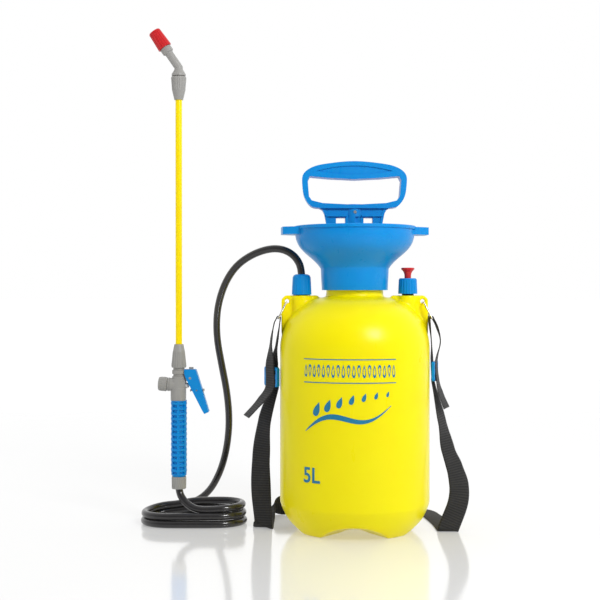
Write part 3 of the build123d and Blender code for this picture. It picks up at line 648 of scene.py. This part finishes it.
def make_straps():
    """One carrying strap: left end, behind the tank along the floor, then the right end."""
    out_x = -0.883 * PLY_REACH
    out_y = -0.469 * PLY_REACH
    left = [
        ((-102.5, 84.0, 10.4), leaning(-35, 40)),
        ((-108.0, 68.0, 5.8), leaning(-22, 16)),
        ((-110.0, 45.0, 1.5), leaning(-12, 1)),
        ((-110.5, 20.0, 0.9), leaning(-20)),
        ((-110.3, 4.0, 0.9), leaning(-32)),
        ((-110.2, -0.6, 2.6), leaning(-33)),
        ((-110.4, -1.0, 7.0), leaning(-30)),
        ((-113.1, -1.0, 49.2), leaning(-16)),
        ((-112.9, -1.0, 87.9), leaning(-30)),
        ((-108.6, -1.0, 131.3), leaning(-50)),
        ((-100.0 - out_x, -out_y, 169.0), leaning(-62)),
        ((-100.0 - FOLD_REACH * out_x, -FOLD_REACH * out_y, 177.5), leaning(-62)),
        ((-100.0 - FOLD_REACH * out_x, -FOLD_REACH * out_y, 190.0), leaning(-62)),
        ((-100.0 - out_x, -out_y, 198.5), leaning(-64)),
        ((-94.2, 0.0, 222.0), leaning(-84)),
        *over_hook_bar(-1),
        ((-97.2, 0.0, 247.8), leaning(-90)),
        ((-100.9, 0.0, 226.0), leaning(-84)),
        ((-100.0 + out_x, out_y, 196.5), leaning(-64)),
        ((-100.0 + out_x, out_y, 171.0), leaning(-62)),
        ((-111.0, -5.0, 158.0), leaning(-64)),
        ((-120.5, -7.5, 147.0), leaning(-68)),
        ((-130.5, -10.0, 136.5), leaning(-68)),
    ]
    back = []
    # Behind the tank the webbing stands on its edge at the left and lies down flat towards the right.
    rear = ((132, 121, 13.4, 80), (122, 121, 13.0, 72), (110, 121, 12.0, 62), (98, 122, 10.2, 48),
            (86, 124, 7.6, 32), (74, 128, 4.6, 16), (62, 136, 1.6, 2))
    for degrees, reach, height, lean in rear:
        a = math.radians(degrees)
        back.append(((reach * math.cos(a), reach * math.sin(a), height), leaning(degrees, lean)))
    right = [
        ((93.0, 112.0, 0.95), leaning(42)),
        ((101.0, 82.0, 0.95), leaning(22)),
        ((105.5, 50.0, 0.9), leaning(8)),
        ((108.5, 20.0, 0.9), leaning(3)),
        ((109.6, -8.0, 0.9), leaning(0)),
        ((109.8, -18.0, 0.9), leaning(0)),
        ((110.0, -21.5, 2.6), leaning(0)),
        ((112.0, -21.6, 8.0), leaning(2)),
        ((122.5, -17.0, 34.0), leaning(8)),
        ((124.5, -12.0, 54.0), leaning(14)),
        ((119.5, -7.0, 76.0), leaning(30)),
        ((112.5, -3.0, 96.0), leaning(42)),
        ((105.4, 0.0, 130.0), leaning(60)),
        ((97.6 - PLY_REACH, 0.0, 176.5), leaning(76)),
        ((97.8 - FOLD_REACH * PLY_REACH, 0.0, 185.0), leaning(76)),
        ((97.2 - FOLD_REACH * PLY_REACH, 0.0, 196.5), leaning(76)),
        ((95.9 - PLY_REACH, 0.0, 205.0), leaning(78)),
        ((92.6, 0.0, 226.0), leaning(84)),
        *over_hook_bar(1),
        ((99.2, 0.0, 243.8), leaning(90)),
        ((103.4, 0.0, 226.0), leaning(84)),
        ((95.9 + PLY_REACH, 0.0, 202.5), leaning(78)),
        ((97.6 + PLY_REACH, 0.0, 178.5), leaning(76)),
        ((104.0, -2.0, 163.0), leaning(70)),
        ((110.5, -4.0, 146.0), leaning(66)),
    ]
    make_strap("webbing", ("strap_left", "strap_back", "strap_right"), [*reversed(left), *back, *right])


# ---- Rounded copies of CAD nodes ----
def copy_of(node):
    """A copy of a CAD node with its doubled vertices merged, to be shaped by modifiers."""
    piece = link(f"{node}_moulded", frame["nodes"][node].data.copy())
    merge = piece.modifiers.new("merge", "WELD")
    merge.merge_threshold = 0.00001
    return piece


def stand_for(piece, node, body, slot):
    """Apply the piece's modifiers, and let it stand for the CAD node on its body."""
    bpy.context.view_layer.update()
    depsgraph = bpy.context.evaluated_depsgraph_get()
    mesh = bpy.data.meshes.new_from_object(piece.evaluated_get(depsgraph))
    piece.modifiers.clear()
    piece.data = mesh
    mesh.materials.clear()
    mesh.materials.append(looks[slot])
    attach(piece, body)
    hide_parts(node)


def blow_mould(node, body, slot, voxel, rounds):
    """A copy with every edge rounded well off, as blow moulding leaves it."""
    piece = copy_of(node)
    remesh = piece.modifiers.new("remesh", "REMESH")
    remesh.mode = "VOXEL"
    remesh.voxel_size = voxel
    remesh.use_smooth_shade = True
    smooth = piece.modifiers.new("smooth", "SMOOTH")
    smooth.factor = 0.5
    smooth.iterations = rounds
    stand_for(piece, node, body, slot)


def break_edges(node, body, slot, width):
    """A copy with its sharp edges broken, as injection moulding leaves them."""
    piece = copy_of(node)
    bevel = piece.modifiers.new("radius", "BEVEL")
    bevel.width = width
    bevel.segments = 2
    bevel.limit_method = "ANGLE"
    bevel.angle_limit = math.radians(32.0)
    bevel.use_clamp_overlap = True
    shade = piece.modifiers.new("shade", "WEIGHTED_NORMAL")
    shade.weight = 60
    shade.keep_sharp = False
    stand_for(piece, node, body, slot)


def springy(node):
    """A copy of a CAD spring in steel, with a mesh of its own, standing for the CAD node on the sprayer body.
    """
    piece = copy_of(node)
    stand_for(piece, node, "sprayer", "steel")
    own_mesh(piece)


# ---- Print on the tank ----
def stamp(name, build):
    """Wrap a flat drawing in (arc, height) millimetres on the tank as a thin layer of ink."""
    bmesh.ops.remove_doubles(build, verts=build.verts, dist=0.001)
    bmesh.ops.triangulate(build, faces=build.faces)
    for k in range(-21, 22):
        geometry = [*build.verts, *build.edges, *build.faces]
        bmesh.ops.bisect_plane(build, geom=geometry, plane_co=(k * PRINT_STRIP, 0, 0), plane_no=(1, 0, 0))
    for vert in build.verts:
        angle = math.radians(PRINT_MIDDLE_DEG) + vert.co.x / TANK_R
        reach = TANK_R + PRINT_PROUD
        vert.co = Vector((reach * math.sin(angle), -reach * math.cos(angle), vert.co.y)) * MM
    bmesh.ops.recalc_face_normals(build, faces=build.faces)
    for face in build.faces:
        if face.normal.dot(Vector((face.calc_center_median().x, face.calc_center_median().y, 0))) < 0:
            face.normal_flip()
    bmesh.ops.solidify(build, geom=build.faces[:], thickness=PRINT_THICK * MM)
    mesh = bpy.data.meshes.new(name)
    build.to_mesh(mesh)
    build.free()
    mesh.materials.append(ink)
    piece = link(name, mesh)
    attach(piece, "sprayer")


def flat_face(build, points):
    """One face of a flat drawing."""
    build.faces.new([build.verts.new((x, y, 0.0)) for x, y in points])


def outlined(build, outline, shares):
    """A closed band between an outline and the same outline drawn smaller."""
    middle_x = sum(x for x, _ in outline) / len(outline)
    middle_y = sum(y for _, y in outline) / len(outline)
    inner = [(middle_x + (x - middle_x) * shares, middle_y + (y - middle_y) * shares) for x, y in outline]
    for k in range(len(outline)):
        m = (k + 1) % len(outline)
        flat_face(build, [outline[k], outline[m], inner[m], inner[k]])


def drop_outline(x, y, width, height, turn=0.0):
    """A water drop's outline: round below and pointed above, turned about its middle."""
    points = []
    for k in range(20):
        a = 2 * math.pi * k / 20
        across = width / 2 * math.sin(a) * math.sin(a / 2) ** 1.2
        up = height / 2 * math.cos(a)
        points.append((x + across * math.cos(turn) - up * math.sin(turn),
                       y + across * math.sin(turn) + up * math.cos(turn)))
    return points


def make_print():
    """A ruled band of outlined drops, a spray swash with its drops, and the capacity."""
    band = bmesh.new()
    for height in (BAND_TOP_Z, BAND_BOTTOM_Z):
        flat_face(band, [(-BAND_HALF, height - 0.55), (BAND_HALF, height - 0.55), (BAND_HALF, height + 0.55),
                         (-BAND_HALF, height + 0.55)])
    drops = 19
    for i in range(drops):
        x = -BAND_HALF + (i + 0.5) * 2 * BAND_HALF / drops
        flip = math.pi if i % 2 else 0.0
        outlined(band, drop_outline(x, (BAND_TOP_Z + BAND_BOTTOM_Z) / 2, 5.4, 15.0, flip), 0.62)
    stamp("print_band", band)
    swash = bmesh.new()
    steps = 40
    low, high = [], []
    for k in range(steps + 1):
        t = k / steps
        x = -54.0 + 104.0 * t
        y = 126.0 + 30.0 * t + 9.0 * math.sin(2 * math.pi * t)
        half = 0.4 + 3.6 * math.sin(math.pi * t) ** 0.8 * (1.0 - 0.6 * t)
        low.append((x, y - half))
        high.append((x, y + half))
    for k in range(steps):
        flat_face(swash, [low[k], low[k + 1], high[k + 1], high[k]])
    for i in range(7):
        t = i / 6
        size = 11.0 - 6.5 * t
        rise = 152.0 + 17.0 * t + 3.0 * math.sin(3.0 * t)
        points = drop_outline(-38.0 + 84.0 * t, rise, size, size * 1.55, -0.35)
        swash.faces.new([swash.verts.new((x, y, 0.0)) for x, y in points])
    stamp("print_spray", swash)
    letters = bpy.data.curves.new("capacity", "FONT")
    letters.body = "5L"
    letters.size = 24.5
    letters.offset = 0.42
    letters.resolution_u = 4
    text = link("capacity", letters)
    bpy.context.view_layer.update()
    flat = bpy.data.meshes.new_from_object(text.evaluated_get(bpy.context.evaluated_depsgraph_get()))
    bpy.data.objects.remove(text)
    build = bmesh.new()
    build.from_mesh(flat)
    low_x = min(v.co.x for v in build.verts)
    high_x = max(v.co.x for v in build.verts)
    low_y = min(v.co.y for v in build.verts)
    high_y = max(v.co.y for v in build.verts)
    for vert in build.verts:
        vert.co.x = CAPACITY_X[0] + (vert.co.x - low_x) / (high_x - low_x) * (CAPACITY_X[1] - CAPACITY_X[0])
        vert.co.y = CAPACITY_Z[0] + (vert.co.y - low_y) / (high_y - low_y) * (CAPACITY_Z[1] - CAPACITY_Z[0])
    stamp("print_capacity", build)


make_camera()
make_hose()
make_stage()
dress_cad_nodes()
make_straps()
make_print()
blow_mould("tank", "sprayer", "yellow_shell", 0.0014, 12)
break_edges("pump_handle", "pump_handle", "blue_plastic", 0.0007)
break_edges("trigger", "trigger", "blue_plastic", 0.0007)
for rounded in ("funnel", "left_adjuster", "right_adjuster"):
    break_edges(rounded, "sprayer", "blue_plastic", 0.0004)
break_edges("valve_body", "sprayer", "grey_plastic", 0.0004)
springy("relief_spring")
springy("valve_spring")

scene.view_settings.view_transform = "Standard"
